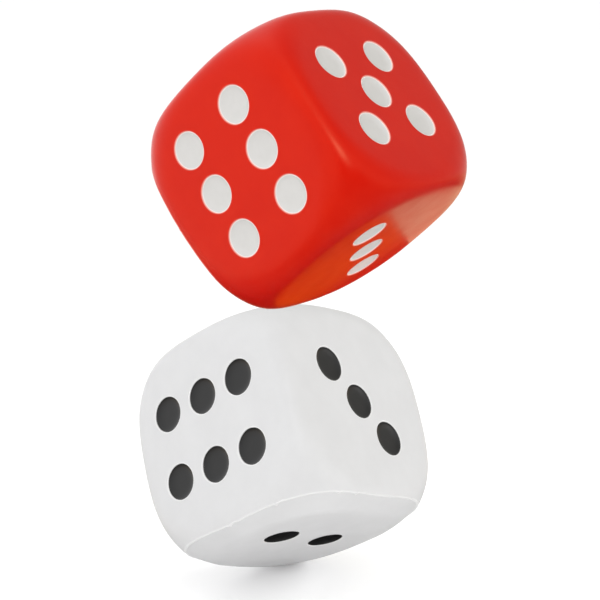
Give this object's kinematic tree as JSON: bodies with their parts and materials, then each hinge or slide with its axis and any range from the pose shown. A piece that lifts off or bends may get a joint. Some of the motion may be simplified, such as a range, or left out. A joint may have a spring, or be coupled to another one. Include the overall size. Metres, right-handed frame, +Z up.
{
  "type": "giant yard dice",
  "caption": "Giant soft foam dice with rounded edges, a skin moulded as a tub and a lid, and dished round pips, stacked corner on corner; the upper die lifts off.",
  "frame": {"origin": "on the ground, under the middle of the bounding box of the stacked dice", "axes": "+Z up; +Y away from the viewer; the lower die shows its six-pip side to the left of -Y, its three-pip side to the right, and its two-pip side below"},
  "size_m": [0.2446, 0.247, 0.4358],
  "materials": {
    "white_skin": "satin moulded foam skin",
    "white_foam": "soft closed-cell foam",
    "white_pip": "satin dark inlay",
    "red_skin": "satin moulded foam skin",
    "red_foam": "soft closed-cell foam",
    "red_pip": "satin light inlay"
  },
  "bodies": {
    "white_die": {"white_foam_core": "white_foam", "white_tub_skin": "white_skin", "white_lid_skin": "white_skin", "white_pip_one_1": "white_pip", "white_pip_two_1": "white_pip", "white_pip_two_2": "white_pip", "white_pip_three_1": "white_pip", "white_pip_three_2": "white_pip", "white_pip_three_3": "white_pip", "white_pip_four_1": "white_pip", "white_pip_four_2": "white_pip", "white_pip_four_3": "white_pip", "white_pip_four_4": "white_pip", "white_pip_five_1": "white_pip", "white_pip_five_2": "white_pip", "white_pip_five_3": "white_pip", "white_pip_five_4": "white_pip", "white_pip_five_5": "white_pip", "white_pip_six_1": "white_pip", "white_pip_six_2": "white_pip", "white_pip_six_3": "white_pip", "white_pip_six_4": "white_pip", "white_pip_six_5": "white_pip", "white_pip_six_6": "white_pip"},
    "red_die": {"red_foam_core": "red_foam", "red_tub_skin": "red_skin", "red_lid_skin": "red_skin", "red_pip_one_1": "red_pip", "red_pip_two_1": "red_pip", "red_pip_two_2": "red_pip", "red_pip_three_1": "red_pip", "red_pip_three_2": "red_pip", "red_pip_three_3": "red_pip", "red_pip_four_1": "red_pip", "red_pip_four_2": "red_pip", "red_pip_four_3": "red_pip", "red_pip_four_4": "red_pip", "red_pip_five_1": "red_pip", "red_pip_five_2": "red_pip", "red_pip_five_3": "red_pip", "red_pip_five_4": "red_pip", "red_pip_five_5": "red_pip", "red_pip_six_1": "red_pip", "red_pip_six_2": "red_pip", "red_pip_six_3": "red_pip", "red_pip_six_4": "red_pip", "red_pip_six_5": "red_pip", "red_pip_six_6": "red_pip"}
  },
  "joints": [
    {"name": "red_die_lift", "type": "slide", "parent": "white_die", "child": "red_die", "axis": [0, 0, 1], "range_m": [0, 0.25]}
  ]
}
